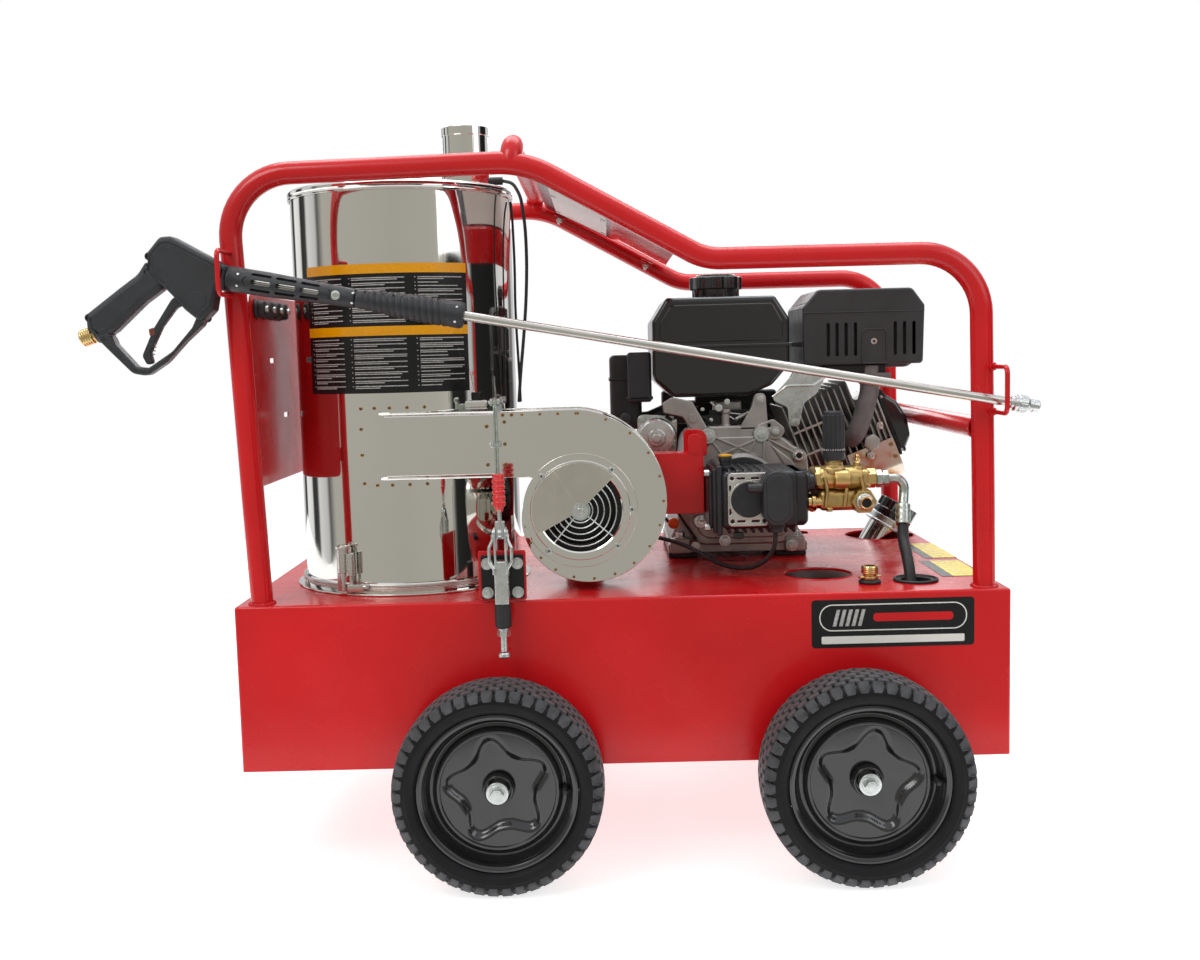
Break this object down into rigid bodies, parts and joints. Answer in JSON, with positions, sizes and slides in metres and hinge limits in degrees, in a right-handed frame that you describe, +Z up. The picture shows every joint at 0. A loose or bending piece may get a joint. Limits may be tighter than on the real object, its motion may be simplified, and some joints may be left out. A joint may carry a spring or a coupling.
{
  "type": "pressure washer",
  "caption": "Engine-driven hot-water pressure washer on a wheeled welded base, with a tube cage, heater drum, blower, pump, and gun with lance.",
  "frame": {"origin": "on the floor, centred under the bounding box", "axes": "+X along the base from the gun end to the fuel-filler end, +Y from the brake and blower side to the back, +Z up"},
  "size_m": [1.3288, 0.8738, 1.1087],
  "materials": {
    "red_paint": "glossy powder coat",
    "black_metal": "satin black",
    "polished_steel": "mirror-polished stainless",
    "zinc": "bright zinc plated",
    "steel": "brushed stainless",
    "cast_aluminium": "sand cast",
    "black_plastic": "fine grain",
    "gloss_black": "gloss black",
    "black_enamel": "heat-resistant black",
    "pump_black": "semi-gloss black casting",
    "brass": "cast and machined",
    "rubber": "black rubber",
    "tyre": "black tread rubber",
    "red_plastic": "ribbed grip",
    "translucent_plastic": "moulded tank"
  },
  "bodies": {
    "base": {"deck_plate": "red_paint", "base_panels": "red_paint", "axles": "steel", "front_cage_frame": "red_paint", "rear_cage_frame": "red_paint", "lance_hooks": "red_paint", "nozzle_panel": "red_paint", "spray_nozzles": "rubber", "console_panel": "red_paint", "drum_shell": "polished_steel", "drum_lid": "polished_steel", "heating_coil": "steel", "blower_housing": "polished_steel", "blower_guard": "zinc", "blower_motor": "black_metal", "blower_bracket": "red_paint", "crankcase": "cast_aluminium", "crankcase_cover": "cast_aluminium", "cylinder_block": "cast_aluminium", "valve_cover": "black_enamel", "engine_fuel_tank": "gloss_black", "muffler_guard": "black_enamel", "muffler": "steel", "air_cleaner": "black_plastic", "recoil_housing": "black_enamel", "starter_motor": "zinc", "heat_shield": "zinc", "pump_crankcase": "pump_black", "pump_end_cover": "cast_aluminium", "pump_manifold": "brass", "pump_switch_box": "black_plastic", "hose_fittings": "zinc", "pressure_hose": "rubber", "wiring": "rubber", "filler_neck": "polished_steel", "diesel_tank": "translucent_plastic", "battery": "black_plastic", "rubber_mounts": "rubber", "brake_base": "black_metal", "fasteners": "zinc"},
    "front_left_wheel": {"front_left_tyre": "tyre", "front_left_rim": "black_enamel"},
    "front_right_wheel": {"front_right_tyre": "tyre", "front_right_rim": "black_enamel"},
    "back_left_wheel": {"back_left_tyre": "tyre", "back_left_rim": "black_enamel"},
    "back_right_wheel": {"back_right_tyre": "tyre", "back_right_rim": "black_enamel"},
    "gun": {"gun_body": "black_plastic", "lance_grip": "black_plastic", "lance_tube": "steel"},
    "trigger": {"gun_trigger": "black_plastic"},
    "brake_lever": {"brake_lever": "red_plastic"},
    "brake_plunger": {"brake_plunger": "zinc"},
    "air_shutter": {"air_shutter": "polished_steel"},
    "blower_wheel": {"blower_wheel": "zinc"},
    "unloader_knob": {"unloader_knob": "black_plastic"},
    "fuel_cap": {"engine_fuel_cap": "black_plastic"},
    "filler_cap": {"filler_cap": "black_plastic"},
    "recoil_handle": {"recoil_handle": "black_plastic"}
  },
  "joints": [
    {"name": "front_left_wheel_spin", "type": "hinge", "parent": "base", "child": "front_left_wheel", "pos_m": [-0.10051, -0.39025, 0.1477], "axis": [0, 1, 0], "continuous": true},
    {"name": "front_right_wheel_spin", "type": "hinge", "parent": "base", "child": "front_right_wheel", "pos_m": [0.41048, -0.39025, 0.1477], "axis": [0, 1, 0], "continuous": true},
    {"name": "back_left_wheel_spin", "type": "hinge", "parent": "base", "child": "back_left_wheel", "pos_m": [-0.10051, 0.39025, 0.1477], "axis": [0, 1, 0], "continuous": true},
    {"name": "back_right_wheel_spin", "type": "hinge", "parent": "base", "child": "back_right_wheel", "pos_m": [0.41048, 0.39025, 0.1477], "axis": [0, 1, 0], "continuous": true},
    {"name": "lance_draw", "type": "slide", "parent": "base", "child": "gun", "axis": [-0.9835, 0, 0.1807], "range_m": [0, 1.15]},
    {"name": "trigger_pull", "type": "hinge", "parent": "gun", "child": "trigger", "pos_m": [-0.49654, -0.34525, 0.83547], "axis": [0, 1, 0], "range_deg": [0, 13], "stiffness_Nm_per_rad": 2, "springref_deg": -17.19},
    {"name": "brake_lever_swing", "type": "hinge", "parent": "base", "child": "brake_lever", "pos_m": [-0.09051, -0.35725, 0.4977], "axis": [1, 0, 0], "range_deg": [0, 95]},
    {"name": "brake_plunger_slide", "type": "slide", "parent": "base", "child": "brake_plunger", "axis": [0, 0, -1], "range_m": [0, 0.021]},
    {"name": "air_shutter_turn", "type": "hinge", "parent": "base", "child": "air_shutter", "pos_m": [0.02048, -0.27525, 0.5167], "axis": [0, 1, 0], "range_deg": [-45, 100]},
    {"name": "blower_wheel_spin", "type": "hinge", "parent": "base", "child": "blower_wheel", "pos_m": [0.02048, -0.22725, 0.5167], "axis": [0, 1, 0], "continuous": true},
    {"name": "unloader_knob_turn", "type": "hinge", "parent": "base", "child": "unloader_knob", "pos_m": [0.41148, -0.15525, 0.5967], "axis": [0, 0, 1], "range_deg": [-360, 360]},
    {"name": "fuel_cap_turn", "type": "hinge", "parent": "base", "child": "fuel_cap", "pos_m": [0.25649, 0.10875, 0.8467], "axis": [0, 0, 1], "range_deg": [0, 110]},
    {"name": "filler_cap_turn", "type": "hinge", "parent": "base", "child": "filler_cap", "pos_m": [0.59324, 0.22875, 0.43956], "axis": [0.515, 0, 0.8572], "range_deg": [0, 110]},
    {"name": "recoil_pull", "type": "slide", "parent": "base", "child": "recoil_handle", "axis": [-1, 0, 0], "range_m": [0, 0.5], "stiffness_N_per_m": 30, "springref_m": -0.15}
  ],
  "couplings": [
    {"joint": "brake_plunger_slide", "follows": "brake_lever_swing", "m_per_rad": 0.012605}
  ]
}
